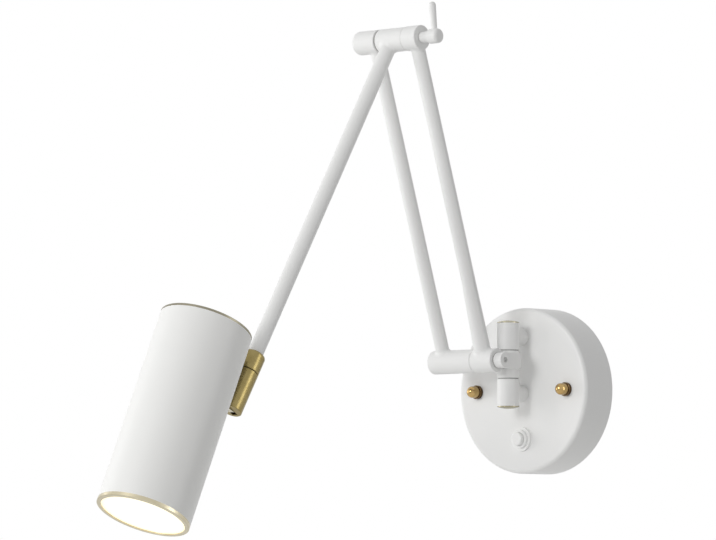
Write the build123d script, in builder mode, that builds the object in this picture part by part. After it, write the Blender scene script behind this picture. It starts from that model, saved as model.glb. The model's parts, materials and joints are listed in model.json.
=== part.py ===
"""Articulating wall lamp: a round wall canopy, a vertical hinge, a two-rod lower arm, a clamped
elbow, a single-rod forearm and a cylindrical head on a brass swivel joint.

The origin is the centre of the canopy's back plane, where the lamp meets the wall.
+X is to the right seen from the room, the room is towards -Y, and +Z is up.
The arm is modelled as it stands in use: leaning out, folded down at the elbow.
"""
from build123d import *
import os
from math import cos, radians, sin, sqrt

os.makedirs("parts", exist_ok=True)

# ---- Clearances and fits, mm
running_gap = 0.05      # radial gap of a pin or bolt that turns in its hole
loose_gap = 0.25        # radial gap of a fastener in a plain hole
working_gap = 0.4       # gap between faces of pieces that move past each other
edge_break = 0.4        # small chamfer on turned edges
seam_chamfer = 0.5      # chamfer each side of a visible seam

# ---- Wall bracket and canopy
canopy_diameter = 120.0
canopy_depth = 30.0
canopy_wall = 1.5
canopy_edge_radius = 3.0
bracket_end = 10.0              # stud's axis to the bracket's end
bracket_margin = 1.5            # least gap from the bracket to the canopy's wall
bracket_width = 22.0
bracket_corner = 5.5
bracket_thickness = 2.0
box_screw_spacing = 60.0
box_screw_slot_length = 12.0
box_screw_slot_width = 4.5
cable_hole_diameter = 12.0
stud_clearance = 6.0            # screw slot's end to a stud's axis
stud_diameter = 4.0
stud_engagement = 6.0
cap_nut_length = 10.5
cap_nut_flange_diameter = 10.0
cap_nut_flange_thickness = 2.6
cap_nut_nose_diameter = 8.4

# ---- Vertical hinge between canopy and arm
hinge_reach = 15.2              # canopy face to hinge axis
hinge_inset = 41.5              # canopy's top edge down to the hinge's centre
sleeve_diameter = 16.0
fixed_sleeve_length = 19.4
middle_sleeve_length = 19.6
hinge_washer_thickness = 0.8
hinge_washer_inset = 0.6        # washer's edge behind the sleeves' surface
hinge_pin_diameter = 8.0
hinge_pin_bore = 4.5
hinge_cap_rise = 2.0
hinge_cap_band = 0.6
hinge_cap_stub_length = 6.0
post_diameter = 12.5
nipple_diameter = 10.0
nipple_bore = 5.0
nipple_nut_thickness = 3.0
nipple_nut_flats = 14.0
nipple_washer_diameter = 18.0
nipple_washer_thickness = 1.0
nipple_overrun = 1.0            # thread that stands past the nut

# ---- Push switch
switch_drop = 35.0              # below the canopy's centre
switch_flange_width = 2.0
switch_flange_thickness = 1.6
switch_ring_width = 2.0         # button to the ring's edge
switch_ring_height = 2.0
switch_barrel_wall = 1.25
switch_wall_gap = 4.0           # switch blades to the wall
switch_floor = 2.0
switch_nut_rim = 1.5
switch_nut_thickness = 2.5
button_diameter = 9.5
button_lip = 0.5                # stands above the ring when pressed
button_length = 11.0
button_edge_radius = 0.8
button_travel = 2.5
button_gap = 0.15
button_pocket_wall = 1.05
button_pocket_depth = 7.0
spring_side_gap = 0.4
spring_wall = 0.7
blade_width = 2.8
blade_thickness = 0.8
blade_length = 6.0
blade_spacing = 6.0

# ---- Driver and terminal block inside the canopy
driver_size = (20.0, 60.0, 16.0)        # across, up, deep
driver_corner = 2.0
terminal_size = (14.0, 28.0, 12.0)
terminal_poles = 3
terminal_hole_diameter = 4.0
terminal_screw_diameter = 3.2
terminal_screw_length = 5.0

# ---- Cross pivot at the foot of the lower arm
cross_clearance = 0.5           # swivelling sleeve to cross tube
cross_rise = 2.4                # cross tube axis above the hinge's centre
cross_diameter = 17.2
cross_wall = 2.0
cross_overhang = 10.5           # left rod's axis to the cross tube's end
cross_hub_length = 19.8
cross_hub_web = 5.6
cross_seam_gap = 0.15
cross_cap_thickness = 3.0
cross_cap_edge = 1.4
cross_cap_spigot = 5.0
spigot_wall = 1.75
spigot_reach = 6.0              # into the cross tube
spigot_hub_reach = 4.2          # into the hub
pivot_washer_thickness = 0.8
lug_offset = 5.4                # hinge axis to the lug's near face
lug_thickness = 6.8
lug_eye_diameter = 11.0
pivot_bolt_diameter = 6.0
pivot_head_diameter = 8.6
pivot_head_height = 4.0
pivot_socket_flats = 4.0
pivot_socket_depth = 2.6
pivot_nut_room = 0.5            # nut's corners and spring washer to the hub's bore
pivot_nut_thickness = 5.0
spring_washer_thickness = 1.2
pivot_bolt_overrun = 1.0

# ---- Lower arm
lower_arm_length = 239.4        # cross pivot to elbow
lower_arm_lean = 18.4           # degrees out from straight up
right_rod_inset = 11.1          # right rod's axis to the cross hub's right face
rod_spacing = 39.0
rod_diameter = 10.0
rod_wall = 1.2

# ---- Elbow
elbow_diameter = 17.1
elbow_clamp_step = 0.3          # right hub's surface above the other hubs'
elbow_wall = 2.0
elbow_cap_thickness = 5.0
elbow_cap_edge = 3.6
elbow_cap_spigot = 1.6
left_hub_outer = 11.5           # left rod's axis to its hub's outer face
left_hub_inner = 5.2            # left rod's axis to its hub's inner face
right_hub_inner = 7.4           # right rod's axis to its hub's inner face
right_hub_outer = 6.0           # right rod's axis to its hub's outer face
friction_washer_thickness = 1.6     # between left hub and forearm hub
thrust_washer_thickness = 0.5       # between forearm hub and right hub
elbow_washer_inset = 1.0        # washers' edge behind the hubs' surface
axle_diameter = 6.0
axle_head_room = 1.25           # axle head to the hub's bore
axle_head_height = 3.5
axle_overrun = 6.5              # axle thread inside the lever's hub
lever_neck_diameter = 8.0
lever_neck_length = 7.7
lever_hub_diameter = 10.5
lever_hub_length = 8.7
lever_hub_edge = 2.4
lever_bore_spare = 0.5
lever_pin_offset = 4.2          # pin axis from the hub's left face
lever_pin_length = 24.5
lever_pin_root_diameter = 4.0
lever_pin_tip_diameter = 5.2
lever_pin_lean = 8.0
lever_pin_seat = 3.0            # depth of the pin in the hub

# ---- Forearm
forearm_drop = 31.6             # degrees out from straight down
forearm_inset = 9.2             # forearm's axis from its hub's left face
forearm_diameter = 11.0
forearm_wall = 1.2
tilt_pivot_distance = 310.8     # elbow to head pivot

# ---- Brass swivel joint
joint_diameter = 16.0
collar_above_pivot = 41.7       # collar's top to the head pivot
collar_length = 14.9
collar_shoulder = 2.6
collar_web = 5.0
barrel_past_pivot = 5.0
barrel_slot_above_pivot = 9.6
barrel_slot_back = 5.4
swivel_screw_diameter = 5.0
swivel_head_room = 0.3          # screw head to the forearm's bore
swivel_head_height = 3.2
swivel_screw_seat = 7.0         # thread in the barrel
tilt_pin_diameter = 4.0
tilt_pin_inset = 0.5            # pin's ends behind the barrel's surface
neck_thickness = 4.4
neck_half_height = 5.4
neck_side_gap = 0.1
neck_foot_diameter = 14.0
neck_foot_thickness = 2.5
neck_stud_diameter = 6.0
neck_stud_past_nut = 1.0
neck_nut_flats = 10.0
neck_nut_thickness = 4.0

# ---- Head
head_drop = 25.0                # degrees: the lens end stands out from straight down
head_diameter = 65.2
head_wall = 1.5
head_gap = 14.0                 # tilt pivot to the shell's side
head_above_pivot = 37.6
head_below_pivot = 106.9
top_ring_height = 1.8
top_ring_width = 2.0
lid_thickness = 1.5
lid_recess = 0.6
bezel_height = 2.6
bezel_width = 3.0
bezel_seat = 4.0
lens_thickness = 2.4
lens_recess = 0.8
reflector_height = 20.0
reflector_wall = 0.8
reflector_throat = 26.0
board_diameter = 40.0
board_thickness = 1.6
chip_diameter = 16.0
chip_thickness = 1.0
sink_height = 34.0
sink_plate = 4.0
sink_core_diameter = 24.0
sink_fin_thickness = 1.6
sink_fin_count = 16


# ---- Sizes, places and planes worked out from the sizes above

stud_spacing = box_screw_spacing + box_screw_slot_length + 2 * stud_clearance
bracket_room = canopy_diameter - 2 * (canopy_wall + bracket_margin)
bracket_length = min(stud_spacing + 2 * bracket_end, bracket_room)
hinge_height = canopy_diameter / 2 - hinge_inset
hinge_washer_diameter = sleeve_diameter - 2 * hinge_washer_inset
switch_barrel_diameter = button_diameter + 2 * switch_barrel_wall
switch_barrel_depth = canopy_depth - switch_wall_gap - blade_length
switch_ring_diameter = button_diameter + 2 * switch_ring_width
switch_flange_diameter = switch_ring_diameter + 2 * switch_flange_width
switch_nut_flats = switch_barrel_diameter + 2 * switch_nut_rim
button_proud = button_travel + button_lip
button_pocket_diameter = button_diameter - 2 * button_pocket_wall
spring_outer_diameter = button_pocket_diameter - 2 * spring_side_gap
bay_centre = (nipple_washer_diameter + stud_spacing - stud_diameter) / 4

cross_reach = sleeve_diameter / 2 + cross_clearance + cross_diameter / 2
cross_bore = cross_diameter - 2 * cross_wall
spigot_bore = cross_bore - 2 * spigot_wall
spring_washer_diameter = cross_bore - 2 * pivot_nut_room
pivot_nut_flats = spring_washer_diameter * cos(radians(30))
cross_hub_right = lug_offset - pivot_washer_thickness
cross_hub_left = cross_hub_right - cross_hub_length
right_rod_x = cross_hub_right - right_rod_inset
left_rod_x = right_rod_x - rod_spacing
cross_left_end = left_rod_x - cross_overhang

elbow_clamp_diameter = elbow_diameter + 2 * elbow_clamp_step
elbow_counterbore = elbow_diameter - 2 * elbow_wall
elbow_washer_diameter = elbow_diameter - 2 * elbow_washer_inset
axle_head_diameter = elbow_counterbore - 2 * axle_head_room
left_hub_left = left_rod_x - left_hub_outer
elbow_left_end = left_hub_left - elbow_cap_thickness
elbow_left_seam = left_rod_x + left_hub_inner
right_hub_left = right_rod_x - right_hub_inner
elbow_right_seam = right_hub_left - thrust_washer_thickness
elbow_right_end = right_rod_x + right_hub_outer
forearm_hub_left = elbow_left_seam + friction_washer_thickness
forearm_hub_length = elbow_right_seam - forearm_hub_left
forearm_x = forearm_hub_left + forearm_inset

forearm_bore = forearm_diameter - 2 * forearm_wall
collar_start = tilt_pivot_distance - collar_above_pivot
swivel_head_diameter = forearm_bore - 2 * swivel_head_room
tilt_pin_length = joint_diameter - 2 * tilt_pin_inset


def across(x, centre):
    """Plane square to the cross pivots: x runs to the wall, y up and z to the right."""
    return Plane(origin=(x, centre[0], centre[1]), x_dir=(0, 1, 0), z_dir=(1, 0, 0))


def along(x, centre, lean):
    """Plane whose z runs from a pivot centre at lean degrees out from straight up."""
    outward = -sin(radians(lean))
    return Plane(origin=(x, centre[0], centre[1]), x_dir=(1, 0, 0), z_dir=(0, outward, cos(radians(lean))))


def beyond(centre, lean, distance):
    """Pivot centre (y, z) a distance along an arm."""
    return (centre[0] - distance * sin(radians(lean)), centre[1] + distance * cos(radians(lean)))


wall = Plane(origin=(0, 0, 0), x_dir=(1, 0, 0), z_dir=(0, -1, 0))
canopy_face = wall.offset(canopy_depth)
canopy_inside = wall.offset(canopy_depth - canopy_wall)

hinge_y = -(canopy_depth + hinge_reach)
middle_bottom = hinge_height - middle_sleeve_length / 2
middle_top = hinge_height + middle_sleeve_length / 2
upper_bottom = middle_top + hinge_washer_thickness
upper_top = upper_bottom + fixed_sleeve_length
lower_top = middle_bottom - hinge_washer_thickness
lower_bottom = lower_top - fixed_sleeve_length
upper_post_z = (upper_bottom + upper_top) / 2
lower_post_z = (lower_bottom + lower_top) / 2

cross_centre = (hinge_y - cross_reach, hinge_height + cross_rise)
elbow_centre = beyond(cross_centre, lower_arm_lean, lower_arm_length)
forearm_lean = 180 - forearm_drop
tilt_centre = beyond(elbow_centre, forearm_lean, tilt_pivot_distance)
head_lean = 180 - head_drop

forearm_plane = along(forearm_x, elbow_centre, forearm_lean)
pivot_plane = along(forearm_x, tilt_centre, head_lean)
head_axis_offset = head_gap + head_diameter / 2
head_plane = Plane(
    origin=pivot_plane.from_local_coords((0, head_axis_offset, 0)),
    x_dir=pivot_plane.x_dir,
    z_dir=pivot_plane.z_dir,
)
neck_plane = Plane(origin=pivot_plane.origin, x_dir=pivot_plane.x_dir, z_dir=pivot_plane.y_dir)


def bar(plane, diameter, length, mode=Mode.ADD):
    """Round bar standing on a plane, or a round hole of the same shape."""
    with BuildSketch(plane) as profile:
        Circle(diameter / 2)
    extrude(profile.sketch, amount=length, mode=mode)


def hexagon(plane, flats, length, mode=Mode.ADD):
    """Hexagonal bar or socket, given across its flats."""
    with BuildSketch(plane) as profile:
        RegularPolygon(flats / 2, 6, major_radius=False)
    extrude(profile.sketch, amount=length, mode=mode)


def block(plane, width, height, depth, mode=Mode.ADD):
    """Rectangular block standing on a plane."""
    with BuildSketch(plane) as profile:
        Rectangle(width, height)
    extrude(profile.sketch, amount=depth, mode=mode)


def hinge_floor(height):
    """Level plane at a height, centred on the vertical hinge."""
    return Plane(origin=(0, hinge_y, height), x_dir=(1, 0, 0), z_dir=(0, 0, 1))


def at(plane, x, y, z=0.0):
    """The same plane moved to a point given in its own directions."""
    return Plane(origin=plane.from_local_coords((x, y, z)), x_dir=plane.x_dir, z_dir=plane.z_dir)


def rim(piece, plane, end):
    """Outer circular edge of a turned piece at its first (0) or last (-1) face along a plane."""
    axis = Axis(plane.origin, plane.z_dir)
    face = piece.faces().filter_by(GeomType.PLANE).filter_by(axis).sort_by(axis)[end]
    return face.outer_wire().edges()


# ---- Base: bracket, studs, canopy and cap nuts

with BuildPart() as wall_bracket:
    with BuildSketch(wall):
        RectangleRounded(bracket_length, bracket_width, bracket_corner)
        with GridLocations(box_screw_spacing, 0, 2, 1):
            SlotOverall(box_screw_slot_length, box_screw_slot_width, mode=Mode.SUBTRACT)
        with GridLocations(stud_spacing, 0, 2, 1):
            Circle(stud_diameter / 2, mode=Mode.SUBTRACT)
        Circle(cable_hole_diameter / 2, mode=Mode.SUBTRACT)
    extrude(amount=bracket_thickness)

with BuildPart() as bracket_studs:
    with BuildSketch(wall):
        with GridLocations(stud_spacing, 0, 2, 1):
            Circle(stud_diameter / 2)
    extrude(amount=canopy_depth + stud_engagement)

with BuildPart() as canopy:
    bar(wall, canopy_diameter, canopy_depth)
    fillet(canopy.edges().sort_by(Axis.Y)[0], radius=canopy_edge_radius)
    offset(amount=-canopy_wall, openings=canopy.faces().sort_by(Axis.Y)[-1])
    with BuildSketch(canopy_inside):
        with GridLocations(stud_spacing, 0, 2, 1):
            Circle(stud_diameter / 2 + loose_gap)
        with Locations((0, upper_post_z), (0, lower_post_z)):
            Circle(nipple_diameter / 2 + loose_gap)
        with Locations((0, -switch_drop)):
            Circle(switch_barrel_diameter / 2 + loose_gap)
    extrude(amount=canopy_wall, mode=Mode.SUBTRACT)

with BuildPart() as cap_nuts:
    for side in (-1, 1):
        nut_plane = at(canopy_face, side * stud_spacing / 2, 0)
        bar(nut_plane, cap_nut_flange_diameter, cap_nut_flange_thickness)
        nose_radius = cap_nut_nose_diameter / 2
        bar(nut_plane, cap_nut_nose_diameter, cap_nut_length - nose_radius)
        with Locations(nut_plane.from_local_coords((0, 0, cap_nut_length - nose_radius))):
            Sphere(nose_radius)
        bar(nut_plane, stud_diameter, stud_engagement, Mode.SUBTRACT)
    flange_edges = cap_nuts.edges().filter_by(GeomType.CIRCLE).filter_by(
        lambda edge: abs(edge.radius - cap_nut_flange_diameter / 2) < edge_break
    )
    fillet(flange_edges, radius=edge_break)


# ---- Fixed half of the vertical hinge

def fixed_knuckle(bottom, post_z):
    """Sleeve with the post and threaded nipple that hold it to the canopy."""
    shoulder = nipple_washer_thickness + nipple_nut_thickness + nipple_overrun
    nipple_length = canopy_wall + shoulder
    nipple_plane = at(canopy_face, 0, post_z, -nipple_length)
    with BuildPart() as knuckle:
        bar(hinge_floor(bottom), sleeve_diameter, fixed_sleeve_length)
        bar(at(canopy_face, 0, post_z), post_diameter, hinge_reach)
        bar(nipple_plane, nipple_diameter, nipple_length)
        bar(hinge_floor(bottom), hinge_pin_diameter, fixed_sleeve_length, Mode.SUBTRACT)
        bar(nipple_plane, nipple_bore, nipple_length + hinge_reach, Mode.SUBTRACT)
    return knuckle


upper_knuckle = fixed_knuckle(upper_bottom, upper_post_z)
lower_knuckle = fixed_knuckle(lower_bottom, lower_post_z)

with BuildPart() as knuckle_washers:
    for post_z in (upper_post_z, lower_post_z):
        washer_plane = at(canopy_inside, 0, post_z, -nipple_washer_thickness)
        bar(washer_plane, nipple_washer_diameter, nipple_washer_thickness)
        bar(washer_plane, nipple_diameter, nipple_washer_thickness, Mode.SUBTRACT)

with BuildPart() as knuckle_nuts:
    for post_z in (upper_post_z, lower_post_z):
        nut_plane = at(canopy_inside, 0, post_z, -nipple_washer_thickness - nipple_nut_thickness)
        hexagon(nut_plane, nipple_nut_flats, nipple_nut_thickness)
        bar(nut_plane, nipple_diameter, nipple_nut_thickness, Mode.SUBTRACT)

hinge_length = upper_top - lower_bottom

with BuildPart() as hinge_pin:
    bar(hinge_floor(lower_bottom), hinge_pin_diameter, hinge_length)
    bar(hinge_floor(lower_bottom), hinge_pin_bore, hinge_length, Mode.SUBTRACT)
    bar(at(canopy_face, 0, lower_post_z), hinge_pin_bore, hinge_reach, Mode.SUBTRACT)

with BuildPart() as hinge_washers:
    for washer_bottom in (lower_top, middle_top):
        bar(hinge_floor(washer_bottom), hinge_washer_diameter, hinge_washer_thickness)
        bar(hinge_floor(washer_bottom), hinge_pin_diameter, hinge_washer_thickness, Mode.SUBTRACT)


def hinge_cap(seat, up):
    """Shallow domed plug: its stub screws into the hollow pin and its rim covers the sleeve."""
    outer = sleeve_diameter / 2
    stub = hinge_pin_bore / 2
    crown = hinge_cap_rise - hinge_cap_band
    crown_radius = (outer**2 + crown**2) / (2 * crown)
    halfway = hinge_cap_rise - crown_radius + sqrt(crown_radius**2 - (outer / 2) ** 2)
    section = Plane(origin=(0, hinge_y, seat), x_dir=(1, 0, 0), z_dir=(0, -up, 0))
    with BuildPart() as cap:
        with BuildSketch(section):
            with BuildLine():
                Polyline(
                    (0, hinge_cap_rise), (0, -hinge_cap_stub_length), (stub, -hinge_cap_stub_length),
                    (stub, 0), (outer, 0), (outer, hinge_cap_band),
                )
                ThreePointArc((outer, hinge_cap_band), (outer / 2, halfway), (0, hinge_cap_rise))
            make_face()
        revolve(axis=Axis((0, hinge_y, seat), (0, 0, 1)))
    return cap


hinge_cap_top = hinge_cap(upper_top, 1)
hinge_cap_bottom = hinge_cap(lower_bottom, -1)


# ---- Push switch below the hinge

switch_axis = at(canopy_face, 0, -switch_drop)
switch_top = switch_flange_thickness + switch_ring_height

with BuildPart() as switch_housing:
    bar(switch_axis, switch_flange_diameter, switch_flange_thickness)
    bar(switch_axis, switch_ring_diameter, switch_top)
    bar(at(switch_axis, 0, 0, -switch_barrel_depth), switch_barrel_diameter, switch_barrel_depth)
    bar(
        at(switch_axis, 0, 0, switch_floor - switch_barrel_depth),
        button_diameter + 2 * button_gap, switch_barrel_depth - switch_floor + switch_top, Mode.SUBTRACT,
    )
    chamfer(rim(switch_housing, switch_axis, -1), length=edge_break)

with BuildPart() as switch_nut:
    switch_nut_plane = at(canopy_inside, 0, -switch_drop, -switch_nut_thickness)
    hexagon(switch_nut_plane, switch_nut_flats, switch_nut_thickness)
    bar(switch_nut_plane, switch_barrel_diameter, switch_nut_thickness, Mode.SUBTRACT)

button_back = switch_top + button_proud - button_length

with BuildPart() as push_button:
    bar(at(switch_axis, 0, 0, button_back), button_diameter, button_length)
    fillet(rim(push_button, switch_axis, -1), radius=button_edge_radius)
    bar(at(switch_axis, 0, 0, button_back), button_pocket_diameter, button_pocket_depth, Mode.SUBTRACT)

spring_start = switch_floor - switch_barrel_depth
spring_length = button_back + button_pocket_depth - spring_start

with BuildPart() as switch_spring:
    bar(at(switch_axis, 0, 0, spring_start), spring_outer_diameter, spring_length)
    bar(
        at(switch_axis, 0, 0, spring_start),
        spring_outer_diameter - 2 * spring_wall, spring_length, Mode.SUBTRACT,
    )

with BuildPart() as switch_blades:
    for side in (-1, 1):
        blade_plane = at(switch_axis, side * blade_spacing / 2, 0, -switch_barrel_depth - blade_length)
        block(blade_plane, blade_thickness, blade_width, blade_length)


# ---- Driver and terminal block on the canopy's inner face

with BuildPart() as led_driver:
    block(at(canopy_inside, -bay_centre, 0, -driver_size[2]), driver_size[0], driver_size[1], driver_size[2])
    fillet(led_driver.edges().filter_by(Axis.Y), radius=driver_corner)

terminal_back = at(canopy_inside, bay_centre, 0, -terminal_size[2])
pole_pitch = terminal_size[1] / terminal_poles

with BuildPart() as terminal_block:
    block(terminal_back, terminal_size[0], terminal_size[1], terminal_size[2])
    for pole in range(terminal_poles):
        pole_z = (pole - (terminal_poles - 1) / 2) * pole_pitch
        bar(at(terminal_back, 0, pole_z), terminal_screw_diameter, terminal_screw_length, Mode.SUBTRACT)
        wire_way = Plane(
            origin=terminal_back.from_local_coords((-terminal_size[0] / 2, pole_z, terminal_size[2] / 2)),
            x_dir=(0, 1, 0),
            z_dir=(1, 0, 0),
        )
        bar(wire_way, terminal_hole_diameter, terminal_size[0], Mode.SUBTRACT)

with BuildPart() as terminal_screws:
    for pole in range(terminal_poles):
        pole_z = (pole - (terminal_poles - 1) / 2) * pole_pitch
        bar(
            at(terminal_back, 0, pole_z, edge_break),
            terminal_screw_diameter, terminal_screw_length - edge_break,
        )


# ---- Swivelling knuckle and the cross pivot

lug_right = lug_offset + lug_thickness
web_left = cross_hub_right - cross_hub_web
pivot_nut_left = web_left - spring_washer_thickness - pivot_nut_thickness

with BuildPart() as swivel_knuckle:
    bar(hinge_floor(middle_bottom), sleeve_diameter, middle_sleeve_length)
    with BuildSketch(across(lug_offset, cross_centre)):
        Circle(lug_eye_diameter / 2)
        with Locations((cross_reach / 2, 0)):
            Rectangle(cross_reach, lug_eye_diameter)
    extrude(amount=lug_thickness)
    bar(
        hinge_floor(middle_bottom),
        hinge_pin_diameter + 2 * running_gap, middle_sleeve_length, Mode.SUBTRACT,
    )
    bar(across(lug_offset, cross_centre), pivot_bolt_diameter, lug_thickness, Mode.SUBTRACT)
    bar(
        across(lug_right - pivot_head_height, cross_centre),
        pivot_head_diameter, pivot_head_height, Mode.SUBTRACT,
    )

with BuildPart() as pivot_bolt:
    bolt_left = pivot_nut_left - pivot_bolt_overrun
    bar(across(bolt_left, cross_centre), pivot_bolt_diameter, lug_right - bolt_left)
    bar(across(lug_right - pivot_head_height, cross_centre), pivot_head_diameter, pivot_head_height)
    hexagon(
        across(lug_right - pivot_socket_depth, cross_centre),
        pivot_socket_flats, pivot_socket_depth, Mode.SUBTRACT,
    )

with BuildPart() as pivot_washer:
    bar(across(cross_hub_right, cross_centre), lug_eye_diameter, pivot_washer_thickness)
    bar(across(cross_hub_right, cross_centre), pivot_bolt_diameter, pivot_washer_thickness, Mode.SUBTRACT)

with BuildPart() as pivot_spring_washer:
    washer_plane = across(web_left - spring_washer_thickness, cross_centre)
    bar(washer_plane, spring_washer_diameter, spring_washer_thickness)
    bar(washer_plane, pivot_bolt_diameter, spring_washer_thickness, Mode.SUBTRACT)

with BuildPart() as pivot_nut:
    hexagon(across(pivot_nut_left, cross_centre), pivot_nut_flats, pivot_nut_thickness)
    bar(across(pivot_nut_left, cross_centre), pivot_bolt_diameter, pivot_nut_thickness, Mode.SUBTRACT)


# ---- Lower arm: cross tube, hub, two rods

cross_tube_left = cross_left_end + cross_cap_thickness
cross_tube_right = cross_hub_left - cross_seam_gap
spigot_left = cross_tube_right - spigot_reach
spigot_length = cross_hub_left + spigot_hub_reach - spigot_left

with BuildPart() as cross_tube:
    bar(across(cross_tube_left, cross_centre), cross_diameter, cross_tube_right - cross_tube_left)
    chamfer(rim(cross_tube, across(0, cross_centre), -1), length=seam_chamfer)
    bar(across(cross_tube_left, cross_centre), cross_bore, cross_tube_right - cross_tube_left, Mode.SUBTRACT)

with BuildPart() as cross_tube_cap:
    bar(across(cross_left_end, cross_centre), cross_diameter, cross_cap_thickness)
    fillet(rim(cross_tube_cap, across(0, cross_centre), 0), radius=cross_cap_edge)
    bar(across(cross_tube_left, cross_centre), cross_bore, cross_cap_spigot)

with BuildPart() as cross_hub:
    bar(across(cross_hub_left, cross_centre), cross_diameter, cross_hub_right - cross_hub_left)
    chamfer(rim(cross_hub, across(0, cross_centre), 0), length=seam_chamfer)
    chamfer(rim(cross_hub, across(0, cross_centre), -1), length=edge_break)
    bar(across(cross_hub_left, cross_centre), cross_bore, web_left - cross_hub_left, Mode.SUBTRACT)
    bar(
        across(web_left, cross_centre),
        pivot_bolt_diameter + 2 * running_gap, cross_hub_web, Mode.SUBTRACT,
    )

with BuildPart() as cross_spigot:
    bar(across(spigot_left, cross_centre), cross_bore, spigot_length)
    bar(across(spigot_left, cross_centre), spigot_bore, spigot_length, Mode.SUBTRACT)


def arm_rod(x, top_diameter):
    """Hollow rod between cross tube and elbow, its ends coped to the tubes it is welded to."""
    axis_plane = along(x, cross_centre, lower_arm_lean)
    half_span = top_diameter
    with BuildPart() as rod:
        bar(axis_plane, rod_diameter, lower_arm_length)
        bar(axis_plane, rod_diameter - 2 * rod_wall, lower_arm_length, Mode.SUBTRACT)
        bar(across(x - half_span, cross_centre), cross_diameter, 2 * half_span, Mode.SUBTRACT)
        bar(across(x - half_span, elbow_centre), top_diameter, 2 * half_span, Mode.SUBTRACT)
    return rod


left_rod = arm_rod(left_rod_x, elbow_diameter)
right_rod = arm_rod(right_rod_x, elbow_clamp_diameter)


# ---- Elbow: three hubs on one axle, clamped by a lever

axle_left = left_hub_left + elbow_cap_spigot + working_gap
left_web_left = axle_left + axle_head_height

with BuildPart() as left_elbow_hub:
    bar(across(left_hub_left, elbow_centre), elbow_diameter, elbow_left_seam - left_hub_left)
    chamfer(rim(left_elbow_hub, across(0, elbow_centre), -1), length=edge_break)
    bar(
        across(left_hub_left, elbow_centre),
        elbow_counterbore, left_web_left - left_hub_left, Mode.SUBTRACT,
    )
    bar(
        across(left_web_left, elbow_centre),
        axle_diameter, elbow_left_seam - left_web_left, Mode.SUBTRACT,
    )

with BuildPart() as elbow_cap:
    bar(across(elbow_left_end, elbow_centre), elbow_diameter, elbow_cap_thickness)
    fillet(rim(elbow_cap, across(0, elbow_centre), 0), radius=elbow_cap_edge)
    bar(across(left_hub_left, elbow_centre), elbow_counterbore, elbow_cap_spigot)

with BuildPart() as right_elbow_hub:
    bar(across(right_hub_left, elbow_centre), elbow_clamp_diameter, elbow_right_end - right_hub_left)
    chamfer(rim(right_elbow_hub, across(0, elbow_centre), 0), length=edge_break)
    chamfer(rim(right_elbow_hub, across(0, elbow_centre), -1), length=edge_break)
    bar(across(right_hub_left, elbow_centre), axle_diameter, elbow_right_end - right_hub_left, Mode.SUBTRACT)

with BuildPart() as elbow_axle:
    bar(across(axle_left, elbow_centre), axle_head_diameter, axle_head_height)
    bar(across(left_web_left, elbow_centre), axle_diameter, elbow_right_end + axle_overrun - left_web_left)

with BuildPart() as elbow_washers:
    for washer_left, washer_thickness in (
        (elbow_left_seam, friction_washer_thickness),
        (elbow_right_seam, thrust_washer_thickness),
    ):
        bar(across(washer_left, elbow_centre), elbow_washer_diameter, washer_thickness)
        bar(across(washer_left, elbow_centre), axle_diameter, washer_thickness, Mode.SUBTRACT)

lever_left = elbow_right_end + working_gap
lever_hub_left = lever_left + lever_neck_length
lever_bore_depth = elbow_right_end + axle_overrun + lever_bore_spare - lever_left
lever_pin_plane = along(lever_hub_left + lever_pin_offset, elbow_centre, lever_pin_lean)
lever_pin_start = lever_hub_diameter / 2 - lever_pin_seat

with BuildPart() as lever_hub:
    bar(across(lever_left, elbow_centre), lever_neck_diameter, lever_neck_length)
    bar(across(lever_hub_left, elbow_centre), lever_hub_diameter, lever_hub_length)
    fillet(rim(lever_hub, across(0, elbow_centre), -1), radius=lever_hub_edge)
    bar(
        across(lever_left, elbow_centre),
        axle_diameter + 2 * running_gap, lever_bore_depth, Mode.SUBTRACT,
    )
    bar(
        at(lever_pin_plane, 0, 0, lever_pin_start),
        lever_pin_root_diameter, lever_hub_diameter, Mode.SUBTRACT,
    )

with BuildPart() as lever_pin:
    taper_start = lever_hub_diameter / 2
    tip_radius = lever_pin_tip_diameter / 2
    bar(at(lever_pin_plane, 0, 0, lever_pin_start), lever_pin_root_diameter, lever_pin_seat)
    with BuildSketch(at(lever_pin_plane, 0, 0, taper_start)):
        Circle(lever_pin_root_diameter / 2)
    with BuildSketch(at(lever_pin_plane, 0, 0, lever_pin_length - tip_radius)):
        Circle(tip_radius)
    loft()
    with Locations(lever_pin_plane.from_local_coords((0, 0, lever_pin_length - tip_radius))):
        Sphere(tip_radius)


# ---- Forearm

collar_end = collar_start + collar_length
collar_web_start = collar_end - collar_web

with BuildPart() as forearm_hub:
    bar(across(forearm_hub_left, elbow_centre), elbow_diameter, forearm_hub_length)
    chamfer(rim(forearm_hub, across(0, elbow_centre), 0), length=edge_break)
    bar(
        across(forearm_hub_left, elbow_centre),
        axle_diameter + 2 * running_gap, forearm_hub_length, Mode.SUBTRACT,
    )

with BuildPart() as forearm_tube:
    bar(forearm_plane, forearm_diameter, collar_web_start)
    bar(forearm_plane, forearm_bore, collar_web_start, Mode.SUBTRACT)
    bar(across(forearm_hub_left, elbow_centre), elbow_diameter, forearm_hub_length, Mode.SUBTRACT)

with BuildPart() as forearm_collar:
    bar(at(forearm_plane, 0, 0, collar_start), joint_diameter, collar_length)
    fillet(rim(forearm_collar, forearm_plane, 0), radius=collar_shoulder)
    chamfer(rim(forearm_collar, forearm_plane, -1), length=edge_break)
    bar(
        at(forearm_plane, 0, 0, collar_start),
        forearm_diameter, collar_length - collar_web, Mode.SUBTRACT,
    )
    bar(
        at(forearm_plane, 0, 0, collar_web_start),
        swivel_screw_diameter + 2 * running_gap, collar_web, Mode.SUBTRACT,
    )


# ---- Brass barrel that turns under the collar and forks over the head's neck

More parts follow.
